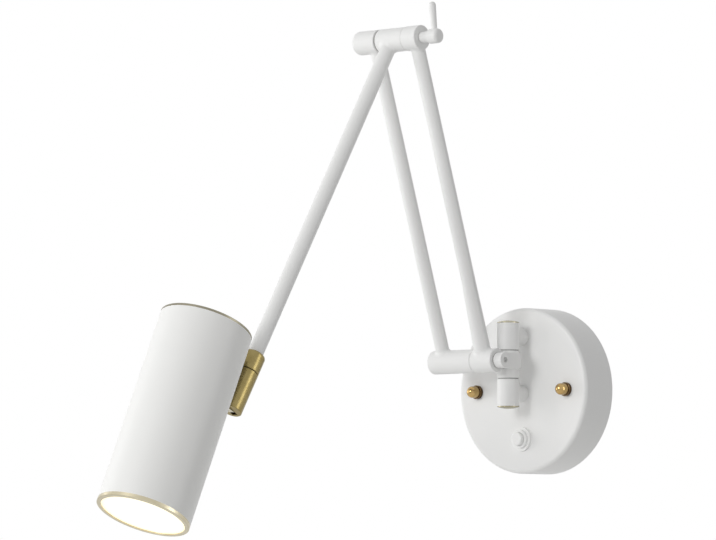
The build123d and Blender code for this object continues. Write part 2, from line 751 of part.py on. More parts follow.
barrel_start = collar_end + working_gap
barrel_end = tilt_pivot_distance + barrel_past_pivot
slot_start = tilt_pivot_distance - barrel_slot_above_pivot
slot_width = neck_thickness + 2 * neck_side_gap
slot_depth = barrel_slot_back + joint_diameter / 2
swivel_head_start = collar_web_start - working_gap - swivel_head_height

with BuildPart() as swivel_barrel:
    bar(at(forearm_plane, 0, 0, barrel_start), joint_diameter, barrel_end - barrel_start)
    chamfer(rim(swivel_barrel, forearm_plane, 0), length=edge_break)
    chamfer(rim(swivel_barrel, forearm_plane, -1), length=edge_break)
    slot_centre = slot_depth / 2 - barrel_slot_back
    block(at(forearm_plane, 0, slot_centre, slot_start), slot_width, slot_depth, barrel_end, Mode.SUBTRACT)
    bar(
        at(forearm_plane, 0, 0, barrel_start),
        swivel_screw_diameter, swivel_screw_seat, Mode.SUBTRACT,
    )
    bar(
        across(forearm_x - tilt_pin_length / 2, tilt_centre),
        tilt_pin_diameter, tilt_pin_length, Mode.SUBTRACT,
    )

with BuildPart() as swivel_screw:
    screw_end = barrel_start + swivel_screw_seat
    bar(at(forearm_plane, 0, 0, swivel_head_start), swivel_head_diameter, swivel_head_height)
    bar(
        at(forearm_plane, 0, 0, swivel_head_start),
        swivel_screw_diameter, screw_end - swivel_head_start,
    )

with BuildPart() as tilt_pin:
    bar(across(forearm_x - tilt_pin_length / 2, tilt_centre), tilt_pin_diameter, tilt_pin_length)


# ---- Head: neck, shell, rings and light engine

shell_start = top_ring_height - head_above_pivot
shell_end = head_below_pivot - bezel_height
shell_bore = head_diameter - 2 * head_wall
neck_foot_start = head_gap - neck_foot_thickness
neck_nut_reach = neck_nut_flats / sqrt(3)
neck_nut_start = head_axis_offset - sqrt((shell_bore / 2) ** 2 - neck_nut_reach**2)
neck_length = neck_nut_start + neck_nut_thickness + neck_stud_past_nut
tongue_left = forearm_x - neck_thickness / 2
tongue_plane = Plane(
    origin=(tongue_left, tilt_centre[0], tilt_centre[1]),
    x_dir=neck_plane.z_dir,
    z_dir=(1, 0, 0),
)

with BuildPart() as neck:
    with BuildSketch(tongue_plane):
        Circle(neck_half_height)
        with Locations((neck_foot_start / 2, 0)):
            Rectangle(neck_foot_start, 2 * neck_half_height)
    extrude(amount=neck_thickness)
    bar(at(neck_plane, 0, 0, neck_foot_start), neck_foot_diameter, neck_foot_thickness + head_wall)
    bar(head_plane.offset(-head_diameter), head_diameter, 2 * head_diameter, Mode.SUBTRACT)
    bar(at(neck_plane, 0, 0, neck_foot_start), neck_stud_diameter, neck_length - neck_foot_start)
    bar(
        across(tongue_left, tilt_centre),
        tilt_pin_diameter + 2 * running_gap, neck_thickness, Mode.SUBTRACT,
    )

with BuildPart() as neck_nut:
    hexagon(at(neck_plane, 0, 0, neck_nut_start), neck_nut_flats, neck_nut_thickness)
    bar(at(neck_plane, 0, 0, neck_nut_start), neck_stud_diameter, neck_nut_thickness, Mode.SUBTRACT)

with BuildPart() as head_shell:
    bar(head_plane.offset(shell_start), head_diameter, shell_end - shell_start)
    bar(head_plane.offset(shell_start), shell_bore, shell_end - shell_start, Mode.SUBTRACT)
    bar(neck_plane, neck_stud_diameter, head_axis_offset, Mode.SUBTRACT)

with BuildPart() as top_ring:
    bar(head_plane.offset(-head_above_pivot), head_diameter, top_ring_height)
    chamfer(rim(top_ring, head_plane, 0), length=edge_break)
    bar(
        head_plane.offset(-head_above_pivot),
        head_diameter - 2 * top_ring_width, top_ring_height, Mode.SUBTRACT,
    )

with BuildPart() as head_lid:
    bar(
        head_plane.offset(lid_recess - head_above_pivot),
        head_diameter - 2 * top_ring_width, top_ring_height - lid_recess,
    )
    bar(head_plane.offset(shell_start), shell_bore, lid_thickness)

with BuildPart() as bezel:
    bar(head_plane.offset(shell_end), head_diameter, bezel_height)
    chamfer(rim(bezel, head_plane, -1), length=edge_break)
    bar(head_plane.offset(shell_end - bezel_seat), shell_bore, bezel_seat)
    bar(
        head_plane.offset(shell_end - bezel_seat),
        head_diameter - 2 * bezel_width, bezel_seat + bezel_height, Mode.SUBTRACT,
    )

lens_end = head_below_pivot - lens_recess
lens_start = lens_end - lens_thickness
reflector_mouth = head_diameter - 2 * bezel_width
reflector_start = lens_start - reflector_height
board_start = reflector_start - board_thickness
sink_plate_start = board_start - sink_plate
sink_start = board_start - sink_height

with BuildPart() as lens:
    bar(head_plane.offset(lens_start), reflector_mouth, lens_thickness)

with BuildPart() as reflector:
    with BuildSketch(head_plane.offset(reflector_start)):
        Circle(reflector_throat / 2)
    with BuildSketch(head_plane.offset(lens_start)):
        Circle(reflector_mouth / 2)
    loft()
    with BuildSketch(head_plane.offset(reflector_start)):
        Circle(reflector_throat / 2 - reflector_wall)
    with BuildSketch(head_plane.offset(lens_start)):
        Circle(reflector_mouth / 2 - reflector_wall)
    loft(mode=Mode.SUBTRACT)

with BuildPart() as led_board:
    bar(head_plane.offset(board_start), board_diameter, board_thickness)

with BuildPart() as led_chip:
    bar(head_plane.offset(reflector_start), chip_diameter, chip_thickness)

with BuildPart() as heat_sink:
    bar(head_plane.offset(sink_plate_start), shell_bore, sink_plate)
    bar(head_plane.offset(sink_start), sink_core_diameter, sink_height)
    fin_reach = shell_bore / 2 - working_gap
    with BuildSketch(head_plane.offset(sink_start)):
        with PolarLocations(fin_reach / 2, sink_fin_count):
            Rectangle(fin_reach, sink_fin_thickness)
    extrude(amount=sink_height - sink_plate)


# ---- One STEP file for each piece

pieces = {
    "wall_bracket": wall_bracket,
    "bracket_studs": bracket_studs,
    "canopy": canopy,
    "cap_nuts": cap_nuts,
    "upper_knuckle": upper_knuckle,
    "lower_knuckle": lower_knuckle,
    "knuckle_washers": knuckle_washers,
    "knuckle_nuts": knuckle_nuts,
    "hinge_pin": hinge_pin,
    "hinge_washers": hinge_washers,
    "hinge_cap_top": hinge_cap_top,
    "hinge_cap_bottom": hinge_cap_bottom,
    "switch_housing": switch_housing,
    "switch_nut": switch_nut,
    "switch_spring": switch_spring,
    "switch_blades": switch_blades,
    "push_button": push_button,
    "led_driver": led_driver,
    "terminal_block": terminal_block,
    "terminal_screws": terminal_screws,
    "swivel_knuckle": swivel_knuckle,
    "pivot_bolt": pivot_bolt,
    "pivot_washer": pivot_washer,
    "pivot_spring_washer": pivot_spring_washer,
    "pivot_nut": pivot_nut,
    "cross_tube": cross_tube,
    "cross_tube_cap": cross_tube_cap,
    "cross_hub": cross_hub,
    "cross_spigot": cross_spigot,
    "left_rod": left_rod,
    "right_rod": right_rod,
    "left_elbow_hub": left_elbow_hub,
    "elbow_cap": elbow_cap,
    "right_elbow_hub": right_elbow_hub,
    "elbow_axle": elbow_axle,
    "elbow_washers": elbow_washers,
    "lever_hub": lever_hub,
    "lever_pin": lever_pin,
    "forearm_hub": forearm_hub,
    "forearm_tube": forearm_tube,
    "forearm_collar": forearm_collar,
    "swivel_barrel": swivel_barrel,
    "swivel_screw": swivel_screw,
    "tilt_pin": tilt_pin,
    "neck": neck,
    "neck_nut": neck_nut,
    "head_shell": head_shell,
    "top_ring": top_ring,
    "head_lid": head_lid,
    "bezel": bezel,
    "lens": lens,
    "reflector": reflector,
    "led_board": led_board,
    "led_chip": led_chip,
    "heat_sink": heat_sink,
}

for name, piece in pieces.items():
    piece.part.label = name
    export_step(piece.part, f"parts/{name}.step")
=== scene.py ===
import json
import math

import bmesh
import bpy
from mathutils import Matrix, Vector


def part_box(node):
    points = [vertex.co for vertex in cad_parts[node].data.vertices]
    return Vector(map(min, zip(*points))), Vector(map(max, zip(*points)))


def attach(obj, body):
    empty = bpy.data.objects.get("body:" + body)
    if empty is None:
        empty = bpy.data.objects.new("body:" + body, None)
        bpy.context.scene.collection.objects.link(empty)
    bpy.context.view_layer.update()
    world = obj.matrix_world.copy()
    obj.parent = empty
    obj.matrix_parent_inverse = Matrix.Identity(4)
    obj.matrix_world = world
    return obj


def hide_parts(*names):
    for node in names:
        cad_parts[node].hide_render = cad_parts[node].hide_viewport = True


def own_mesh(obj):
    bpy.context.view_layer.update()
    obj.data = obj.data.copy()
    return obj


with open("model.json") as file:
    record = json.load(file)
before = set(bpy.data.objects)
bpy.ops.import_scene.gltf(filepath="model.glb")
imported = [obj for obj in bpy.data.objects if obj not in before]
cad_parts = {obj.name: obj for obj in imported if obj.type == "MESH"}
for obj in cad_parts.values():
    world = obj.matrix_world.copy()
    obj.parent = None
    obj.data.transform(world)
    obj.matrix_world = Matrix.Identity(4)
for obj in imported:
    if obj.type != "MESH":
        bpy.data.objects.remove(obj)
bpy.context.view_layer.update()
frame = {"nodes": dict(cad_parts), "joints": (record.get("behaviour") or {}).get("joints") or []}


# ---- Camera
# The lamp is seen from its front right and from a little below, from far away with a long lens,
# so that its tubes show almost no perspective.

view_target = Vector((-0.09528, -0.10153, 0.08836))
towards_camera = Vector((0.6724, -0.7374, -0.0656))
camera_distance = 3.453

camera_data = bpy.data.cameras.new("photo_camera")
camera_data.sensor_width = 36.0
camera_data.lens = 238.7
camera_data.clip_end = 50.0
camera = bpy.data.objects.new("photo_camera", camera_data)
camera.location = view_target + towards_camera.normalized() * camera_distance
camera.rotation_mode = "QUATERNION"
camera.rotation_quaternion = (-towards_camera).to_track_quat("-Z", "Y")
bpy.context.scene.collection.objects.link(camera)
bpy.context.scene.camera = camera


# ---- Studio
# A pale round floor 1.3 m below the canopy's middle, and a white surround that gives a soft fill.
# A key light stands in front and another to the left rounds the tubes. A tall panel to the right
# shows only in gloss, where it draws the bright band on the brass.

def to_linear(hex_colour):
    """Linear colour with full alpha of an sRGB hex value such as F2F1EE."""
    channels = [int(hex_colour[i:i + 2], 16) / 255 for i in (0, 2, 4)]
    return [c / 12.92 if c <= 0.04045 else ((c + 0.055) / 1.055) ** 2.4 for c in channels] + [1.0]


def add_node(tree, kind, inputs=None, **settings):
    """Adds a node. Settings are its own fields; an input is a value or a (node, output) link."""
    node = tree.nodes.new(kind)
    for field, value in settings.items():
        setattr(node, field, value)
    for socket, value in (inputs or {}).items():
        if isinstance(value, tuple) and isinstance(value[0], bpy.types.Node):
            tree.links.new(value[0].outputs[value[1]], node.inputs[socket])
        else:
            node.inputs[socket].default_value = value
    return node


def seen_by_camera(tree):
    """1 for a ray that reaches the camera straight, off a glossy face or through a clear piece."""
    path = add_node(tree, "ShaderNodeLightPath")
    straight_or_glossy = add_node(
        tree, "ShaderNodeMath", operation="MAXIMUM",
        inputs={0: (path, "Is Camera Ray"), 1: (path, "Is Glossy Ray")},
    )
    return add_node(
        tree, "ShaderNodeMath", operation="MAXIMUM",
        inputs={0: (straight_or_glossy, "Value"), 1: (path, "Is Transmission Ray")},
    )


floor_level = -1.30
floor_radius = 9.0
floor_segments = 128
floor_lift_strength = 0.40
soft_fill_strength = 0.435
white_strength = 1.0
floor_mesh = bpy.data.meshes.new("studio_floor")
floor_shape = bmesh.new()
bmesh.ops.create_circle(
    floor_shape, cap_ends=True, segments=floor_segments, radius=floor_radius,
    matrix=Matrix.Translation((0, 0, floor_level)),
)
floor_shape.to_mesh(floor_mesh)
floor_shape.free()
studio_floor = bpy.data.objects.new("studio_floor", floor_mesh)
bpy.context.scene.collection.objects.link(studio_floor)

floor_paint = bpy.data.materials.new("floor_paint")
floor_paint.use_nodes = True
floor_tree = floor_paint.node_tree
floor_shader = floor_tree.nodes["Principled BSDF"]
floor_shader.inputs["Base Color"].default_value = to_linear("F4F4F3")
floor_shader.inputs["Roughness"].default_value = 0.9
floor_shader.inputs["Emission Color"].default_value = to_linear("FFFFFF")
# The floor looks a little brighter than it is lit, so that the background stays near white.
floor_lift = add_node(
    floor_tree, "ShaderNodeMath", operation="MULTIPLY",
    inputs={0: (seen_by_camera(floor_tree), "Value"), 1: floor_lift_strength},
)
floor_tree.links.new(floor_lift.outputs["Value"], floor_shader.inputs["Emission Strength"])
floor_mesh.materials.append(floor_paint)

surround = bpy.data.worlds.new("studio_surround")
surround.use_nodes = True
surround_tree = surround.node_tree
surround_tree.nodes.clear()
soft_fill = add_node(
    surround_tree, "ShaderNodeBackground",
    inputs={"Color": to_linear("FFFFFF"), "Strength": soft_fill_strength},
)
white_surround = add_node(
    surround_tree, "ShaderNodeBackground",
    inputs={"Color": to_linear("FFFFFF"), "Strength": white_strength},
)
surround_mix = add_node(
    surround_tree, "ShaderNodeMixShader",
    inputs={
        0: (seen_by_camera(surround_tree), "Value"),
        1: (soft_fill, "Background"),
        2: (white_surround, "Background"),
    },
)
add_node(surround_tree, "ShaderNodeOutputWorld", inputs={"Surface": (surround_mix, "Shader")})
bpy.context.scene.world = surround


def studio_lamp(name, place, width, height, watts):
    """Soft rectangular lamp that points at the arm's middle."""
    lamp_data = bpy.data.lights.new(name, "AREA")
    lamp_data.shape = "RECTANGLE"
    lamp_data.size = width
    lamp_data.size_y = height
    lamp_data.energy = watts
    lamp = bpy.data.objects.new(name, lamp_data)
    lamp.location = Vector(place)
    lamp.rotation_mode = "QUATERNION"
    lamp.rotation_quaternion = (view_target - lamp.location).to_track_quat("-Z", "Y")
    bpy.context.scene.collection.objects.link(lamp)
    return lamp


studio_lamp("key_lamp", (-0.20, -2.65, 0.75), width=1.0, height=1.0, watts=26.5)
studio_lamp("left_lamp", (-2.25, -1.20, 0.20), width=1.2, height=1.6, watts=14.0)
gloss_panel = studio_lamp("gloss_panel", (1.90, 0.55, 0.30), width=0.60, height=1.8, watts=9.0)
gloss_panel.visible_diffuse = False

bpy.context.scene.view_settings.view_transform = "Standard"


# ---- Painted steel: canopy, hinge, tubes, hubs, lever, bolt and head
# Steel tube and spun sheet with a fine white powder coat, sprayed on dry and baked. The coat is
# satin, with a faint orange peel about two millimetres across.

nodes = frame["nodes"]
peel_width = 0.002
film_width = 0.04
relief_depth = 0.00003


def new_finish(name):
    """Material with its shader and object coordinates, ready for a pattern."""
    material = bpy.data.materials.new(name)
    material.use_nodes = True
    tree = material.node_tree
    return material, tree, tree.nodes["Principled BSDF"], add_node(tree, "ShaderNodeTexCoord")


def powder_coat(name, light, dark, roughness, peel):
    """Baked powder whose gloss and relief follow its flow marks."""
    material, tree, shader, place = new_finish(name)
    # Flow marks of the baked powder, about 2 mm across and very shallow.
    peel_noise = add_node(
        tree, "ShaderNodeTexNoise",
        inputs={
            "Vector": (place, "Object"),
            "Scale": 1 / peel_width,
            "Detail": 1.0,
            "Roughness": 0.5,
        },
    )
    # Slow changes of film thickness over some 40 mm.
    film_noise = add_node(
        tree, "ShaderNodeTexNoise",
        inputs={
            "Vector": (place, "Object"),
            "Scale": 1 / film_width,
            "Detail": 3.0,
            "Roughness": 0.6,
        },
    )
    tint = add_node(
        tree, "ShaderNodeMix", data_type="RGBA",
        inputs={"Factor": (film_noise, "Fac"), "A": to_linear(light), "B": to_linear(dark)},
    )
    tree.links.new(tint.outputs["Result"], shader.inputs["Base Color"])
    gloss = add_node(
        tree, "ShaderNodeMapRange",
        inputs={
            "Value": (peel_noise, "Fac"),
            "To Min": roughness - 0.05,
            "To Max": roughness + 0.07,
        },
    )
    tree.links.new(gloss.outputs["Result"], shader.inputs["Roughness"])
    relief = add_node(
        tree, "ShaderNodeBump",
        inputs={"Height": (peel_noise, "Fac"), "Strength": peel, "Distance": relief_depth},
    )
    tree.links.new(relief.outputs["Normal"], shader.inputs["Normal"])
    shader.inputs["IOR"].default_value = 1.5
    return material


def wear(material, *names):
    """The named CAD nodes take this material in place of their plain one."""
    for name in names:
        mesh = nodes[name].data
        mesh.materials.clear()
        mesh.materials.append(material)


white_coat = powder_coat(
    "white_powder_coat", light="F2F2F1", dark="EEEEED", roughness=0.42, peel=0.16,
)
head_coat = powder_coat(
    "head_powder_coat", light="F3F3F1", dark="EFEFED", roughness=0.40, peel=0.14,
)
wear(
    white_coat, "canopy", "upper_knuckle", "lower_knuckle", "swivel_knuckle", "cross_tube",
    "cross_tube_cap", "cross_hub", "left_rod", "right_rod", "left_elbow_hub", "elbow_cap",
    "right_elbow_hub", "lever_hub", "lever_pin", "forearm_hub", "forearm_tube", "pivot_bolt",
)
wear(head_coat, "head_shell", "head_lid")


# ---- Welds of the rods and the forearm
# Each tube is welded onto its hub with a smooth concave fillet that lies on the hub's curve. The
# right rod also grows thicker towards its foot, on its inner side only. All are under the paint.

joints = {joint["name"]: joint for joint in frame["joints"]}
cross_pivot = Vector(joints["lower_arm_tilt"]["pos_m"])
elbow = Vector(joints["elbow_fold"]["pos_m"])
head_pivot = Vector(joints["head_tilt"]["pos_m"])
cross_radius = 0.0086
elbow_radius = 0.00855
clamp_radius = 0.00885
rod_radius = 0.005
forearm_radius = 0.0055
foot_radius = 0.0063
foot_shift = 0.0013
foot_height = 0.062
weld_root = 0.0005
weld_facets = 64
weld_steps = 8
merge_distance = 1e-7
corner_angle = math.radians(35)


def middle_x(name):
    low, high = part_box(name)
    return (low[0] + high[0]) / 2


def across_arm(start, end):
    """Unit direction from one pivot to the next, square to the pivots."""
    return Vector((0, end[1] - start[1], end[2] - start[2])).normalized()


def tube_frame(x, pivot, away):
    """Frame on a pivot's axis at x whose Z runs along the tube and whose X runs along the hub."""
    hub_line = Vector((1, 0, 0))
    side = away.cross(hub_line)
    frame_axes = Matrix((hub_line, side, away)).transposed().to_4x4()
    return Matrix.Translation((x, pivot[1], pivot[2])) @ frame_axes


def finished_piece(name, shape, body, material):
    """Closed mesh that moves with a body, smooth but for its sharp corners."""
    bmesh.ops.remove_doubles(shape, verts=shape.verts, dist=merge_distance)
    bmesh.ops.recalc_face_normals(shape, faces=shape.faces)
    for face in shape.faces:
        face.smooth = True
    for edge in shape.edges:
        edge.smooth = edge.calc_face_angle(0) < corner_angle
    mesh = bpy.data.meshes.new(name)
    shape.to_mesh(mesh)
    shape.free()
    mesh.materials.append(material)
    piece = bpy.data.objects.new(name, mesh)
    bpy.context.scene.collection.objects.link(piece)
    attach(piece, body)
    return piece


def weld(name, body, place, tube_radius, hub_radius, fillet, left_room, right_room):
    """Concave ring round a tube's foot, laid onto the hub and kept within the hub's two faces."""
    shape = bmesh.new()
    outline = [(tube_radius - weld_root, -weld_root), (tube_radius + fillet, -weld_root)]
    for step in range(weld_steps + 1):
        angle = math.pi / 2 * step / weld_steps
        outline.append((
            tube_radius + fillet * (1 - math.sin(angle)), fillet * (1 - math.cos(angle)),
        ))
    outline.append((tube_radius - weld_root, fillet))
    corners = [shape.verts.new((radius, 0, height)) for radius, height in outline]
    for corner, following in zip(corners, corners[1:] + corners[:1]):
        shape.edges.new((corner, following))
    bmesh.ops.spin(
        shape, geom=shape.verts[:] + shape.edges[:], cent=(0, 0, 0), axis=(0, 0, 1),
        angle=math.tau, steps=weld_facets, use_merge=True,
    )
    for corner in shape.verts:
        corner.co.z += math.sqrt(hub_radius ** 2 - corner.co.y ** 2)
        corner.co.x = min(max(corner.co.x, -left_room), right_room)
    bmesh.ops.transform(shape, matrix=place, verts=shape.verts)
    finished_piece(name, shape, body, white_coat)


rod_line = across_arm(cross_pivot, elbow)
forearm_line = across_arm(elbow, head_pivot)
left_rod_x = middle_x("left_rod")
right_rod_x = middle_x("right_rod")
forearm_x = middle_x("forearm_tube")

weld(
    "left_rod_foot_weld", "lower_arm", tube_frame(left_rod_x, cross_pivot, rod_line),
    rod_radius, cross_radius, fillet=0.0018, left_room=0.0090, right_room=0.0090,
)
weld(
    "right_rod_foot_weld", "lower_arm",
    tube_frame(right_rod_x - foot_shift, cross_pivot, rod_line),
    foot_radius, cross_radius, fillet=0.0018, left_room=0.0071, right_room=0.0082,
)
weld(
    "left_rod_head_weld", "lower_arm", tube_frame(left_rod_x, elbow, -rod_line),
    rod_radius, elbow_radius, fillet=0.0016, left_room=0.0080, right_room=0.0049,
)
weld(
    "right_rod_head_weld", "lower_arm", tube_frame(right_rod_x, elbow, -rod_line),
    rod_radius, clamp_radius, fillet=0.0016, left_room=0.0069, right_room=0.0055,
)
weld(
    "forearm_weld", "forearm", tube_frame(forearm_x, elbow, forearm_line),
    forearm_radius, elbow_radius, fillet=0.0022, left_room=0.0085, right_room=0.0085,
)

foot_shape = bmesh.new()
bmesh.ops.create_cone(
    foot_shape, cap_ends=True, segments=weld_facets, radius1=foot_radius, radius2=rod_radius,
    depth=foot_height, matrix=Matrix.Translation((0, 0, foot_height / 2)),
)
for foot_corner in foot_shape.verts:
    foot_corner.co.x -= foot_shift * (1 - foot_corner.co.z / foot_height)
bmesh.ops.transform(
    foot_shape, matrix=tube_frame(right_rod_x, cross_pivot, rod_line), verts=foot_shape.verts,
)
finished_piece("right_rod_foot", foot_shape, "lower_arm", white_coat)


# ---- Brass: cap nuts, hinge caps, rings, collar and barrel
# Free-cutting brass turned on a lathe, lacquered and a little pale, with fine tool rings. Pieces
# that share a material share one axis for their rings, and both cap nuts take the canopy's.

tool_ring_width = 0.0003
tool_ring_depth = 0.00002
tarnish_width = 0.006


def turned_brass(name, colour, shade, roughness, centre, turn):
    """Brass whose fine tool rings run round an axis through centre; turn points it along Z."""
    material, tree, shader, place = new_finish(name)
    on_axis = add_node(
        tree, "ShaderNodeMapping", vector_type="TEXTURE",
        inputs={"Vector": (place, "Object"), "Location": centre, "Rotation": turn},
    )
    split = add_node(tree, "ShaderNodeSeparateXYZ", inputs={"Vector": (on_axis, "Vector")})
    flat = add_node(
        tree, "ShaderNodeCombineXYZ", inputs={"X": (split, "X"), "Y": (split, "Y")},
    )
    radius = add_node(
        tree, "ShaderNodeVectorMath", operation="LENGTH", inputs={0: (flat, "Vector")},
    )
    ring_place = add_node(
        tree, "ShaderNodeCombineXYZ", inputs={"X": (radius, "Value"), "Z": (split, "Z")},
    )
    # Tool rings, drawn 0.3 mm wide because the real ones are too fine to show.
    rings = add_node(
        tree, "ShaderNodeTexNoise",
        inputs={"Vector": (ring_place, "Vector"), "Scale": 1 / tool_ring_width, "Detail": 3.0},
    )
    # Cloudy tarnish under the lacquer, in patches of about 6 mm.
    tarnish = add_node(
        tree, "ShaderNodeTexNoise",
        inputs={
            "Vector": (place, "Object"),
            "Scale": 1 / tarnish_width,
            "Detail": 4.0,
            "Roughness": 0.6,
        },
    )
    tint = add_node(
        tree, "ShaderNodeMix", data_type="RGBA",
        inputs={"Factor": (tarnish, "Fac"), "A": to_linear(colour), "B": to_linear(shade)},
    )
    tree.links.new(tint.outputs["Result"], shader.inputs["Base Color"])
    gloss = add_node(
        tree, "ShaderNodeMapRange",
        inputs={
            "Value": (rings, "Fac"),
            "To Min": roughness - 0.06,
            "To Max": roughness + 0.08,
        },
    )
    tree.links.new(gloss.outputs["Result"], shader.inputs["Roughness"])
    relief = add_node(
        tree, "ShaderNodeBump",
        inputs={"Height": (rings, "Fac"), "Strength": 0.25, "Distance": tool_ring_depth},
    )
    tree.links.new(relief.outputs["Normal"], shader.inputs["Normal"])
    shader.inputs["Metallic"].default_value = 1.0
    return material


hinge_axis = Vector(joints["arm_swing"]["pos_m"])
forearm_turn = forearm_line.to_track_quat("Z", "Y").to_euler()
lens_low, lens_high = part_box("lens")
lid_low, lid_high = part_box("head_lid")
lens_centre = (lens_low + lens_high) / 2
head_line = ((lens_low + lens_high) - (lid_low + lid_high)).normalized()
head_turn = head_line.to_track_quat("Z", "Y").to_euler()
upright = (0, 0, 0)
facing_room = (math.pi / 2, 0, 0)
canopy_middle = (0, 0, 0)

hinge_brass = turned_brass(
    "hinge_cap_brass", "A8A28A", "938D75", roughness=0.24, centre=hinge_axis, turn=upright,
)
nut_brass = turned_brass(
    "cap_nut_brass", "C9B17C", "A07C48", roughness=0.12, centre=canopy_middle, turn=facing_room,
)
joint_brass = turned_brass(
    "satin_joint_brass", "9A8C60", "7C6D42", roughness=0.27, centre=head_pivot, turn=forearm_turn,
)
neck_brass = turned_brass(
    "pale_neck_brass", "C6C0AC", "B2AB94", roughness=0.24, centre=head_pivot, turn=head_turn,
)
bezel_brass = turned_brass(
    "bezel_brass", "CBC3AB", "B7AE93", roughness=0.30, centre=lens_centre, turn=head_turn,
)
ring_brass = turned_brass(
    "top_ring_brass", "918C7C", "7F7A69", roughness=0.38, centre=lens_centre, turn=head_turn,
)
wear(hinge_brass, "hinge_cap_top", "hinge_cap_bottom")
wear(nut_brass, "cap_nuts")

# The flange of a cap nut is painted dark brown, a painted shade and dark reflection where it sits
# against the canopy, and its nose keeps the plain brass.
nut_tree = nut_brass.node_tree
nut_shader = nut_tree.nodes["Principled BSDF"]
nut_place = add_node(nut_tree, "ShaderNodeTexCoord")
nut_split = add_node(nut_tree, "ShaderNodeSeparateXYZ", inputs={"Vector": (nut_place, "Object")})
nut_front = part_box("cap_nuts")[0][1]
plain_nose_to = 0.0060
painted_shade_from = 0.0085
nut_shade_mask = add_node(
    nut_tree, "ShaderNodeMapRange", interpolation_type="SMOOTHSTEP",
    inputs={
        "Value": (nut_split, "Y"),
        "From Min": nut_front + painted_shade_from,
        "From Max": nut_front + plain_nose_to,
    },
)
nut_plain_tint = nut_shader.inputs["Base Color"].links[0].from_socket
# Dark brown painted shade and reflection on the flange, fading out towards the nose.
nut_painted_shade = add_node(
    nut_tree, "ShaderNodeMix", data_type="RGBA",
    inputs={"Factor": (nut_shade_mask, "Result"), "A": to_linear("5A4630")},
)
nut_tree.links.new(nut_plain_tint, nut_painted_shade.inputs["B"])
nut_tree.links.new(nut_painted_shade.outputs["Result"], nut_shader.inputs["Base Color"])
wear(joint_brass, "forearm_collar", "swivel_barrel", "tilt_pin")
wear(neck_brass, "neck")
wear(bezel_brass, "bezel")
wear(ring_brass, "top_ring")


# ---- Lens
# Opal acrylic disc pressed into the bezel, lit warm white from behind and a little yellower
# towards its rim, where the light comes through more of the sheet.

warm_rim_start = 0.020
warm_rim_end = 0.030
lens_grain = 0.0015
lens_glow = 0.85

opal, opal_tree, opal_shader, opal_place = new_finish("lens_opal_acrylic")
# Diffusing grains of the sheet, drawn at 1.5 mm because the real ones are too fine to show.
diffuser = add_node(
    opal_tree, "ShaderNodeTexNoise",
    inputs={"Vector": (opal_place, "Object"), "Scale": 1 / lens_grain, "Detail": 2.0},
)
opal_relief = add_node(
    opal_tree, "ShaderNodeBump",
    inputs={"Height": (diffuser, "Fac"), "Strength": 0.2, "Distance": relief_depth},
)
opal_tree.links.new(opal_relief.outputs["Normal"], opal_shader.inputs["Normal"])
opal_tint = add_node(
    opal_tree, "ShaderNodeMix", data_type="RGBA",
    inputs={"Factor": (diffuser, "Fac"), "A": to_linear("FFF6E0"), "B": to_linear("FFF1D2")},
)
opal_tree.links.new(opal_tint.outputs["Result"], opal_shader.inputs["Base Color"])
opal_off_axis = add_node(
    opal_tree, "ShaderNodeVectorMath", operation="DISTANCE",
    inputs={0: (opal_place, "Object"), 1: lens_centre},
)
rim_share = add_node(
    opal_tree, "ShaderNodeMapRange", interpolation_type="SMOOTHSTEP",
    inputs={
        "Value": (opal_off_axis, "Value"),
        "From Min": warm_rim_start,
        "From Max": warm_rim_end,
    },
)
opal_light = add_node(
    opal_tree, "ShaderNodeMix", data_type="RGBA",
    inputs={"Factor": (rim_share, "Result"), "A": to_linear("FFFAEE"), "B": to_linear("EFE0BE")},
)
opal_tree.links.new(opal_light.outputs["Result"], opal_shader.inputs["Emission Color"])
opal_shader.inputs["Emission Strength"].default_value = lens_glow
opal_shader.inputs["Roughness"].default_value = 0.35
opal_shader.inputs["IOR"].default_value = 1.49
wear(opal, "lens")


# ---- Plastic: switch, washers, driver and terminal block
# The switch is glossy white ABS, the washers are grey nylon, and the driver's case and the
# terminal block are matt polycarbonate. All are injection moulded.

pigment_width = 0.012


def moulded_plastic(name, colour, shade, roughness, grain_width, grain_strength, ior):
    """Plastic with the fine spark grain of its mould and a slight change of pigment."""
    material, tree, shader, place = new_finish(name)
    grain = add_node(
        tree, "ShaderNodeTexNoise",
        inputs={"Vector": (place, "Object"), "Scale": 1 / grain_width, "Detail": 3.0},
    )
    # Slow changes of pigment over some 12 mm.
    flow = add_node(
        tree, "ShaderNodeTexNoise",
        inputs={"Vector": (place, "Object"), "Scale": 1 / pigment_width, "Detail": 2.0},
    )
    tint = add_node(
        tree, "ShaderNodeMix", data_type="RGBA",
        inputs={"Factor": (flow, "Fac"), "A": to_linear(colour), "B": to_linear(shade)},
    )
    tree.links.new(tint.outputs["Result"], shader.inputs["Base Color"])
    gloss = add_node(
        tree, "ShaderNodeMapRange",
        inputs={
            "Value": (grain, "Fac"),
            "To Min": roughness - 0.04,
            "To Max": roughness + 0.06,
        },
    )
    tree.links.new(gloss.outputs["Result"], shader.inputs["Roughness"])
    relief = add_node(
        tree, "ShaderNodeBump",
        inputs={"Height": (grain, "Fac"), "Strength": grain_strength, "Distance": relief_depth},
    )
    tree.links.new(relief.outputs["Normal"], shader.inputs["Normal"])
    shader.inputs["IOR"].default_value = ior
    return material


switch_abs = moulded_plastic(
    "glossy_white_abs", "F9F9F8", "F6F6F5",
    roughness=0.22, grain_width=0.0010, grain_strength=0.10, ior=1.54,
)
washer_nylon = moulded_plastic(
    "washer_grey_nylon", "A9A9A7", "9D9D9B",
    roughness=0.50, grain_width=0.0005, grain_strength=0.30, ior=1.53,
)
case_plastic = moulded_plastic(
    "matt_polycarbonate", "ECECE8", "E4E4E0",
    roughness=0.48, grain_width=0.0006, grain_strength=0.45, ior=1.585,
)
wear(switch_abs, "switch_housing", "push_button")
wear(washer_nylon, "hinge_washers", "pivot_washer", "elbow_washers")
wear(case_plastic, "led_driver", "terminal_block")


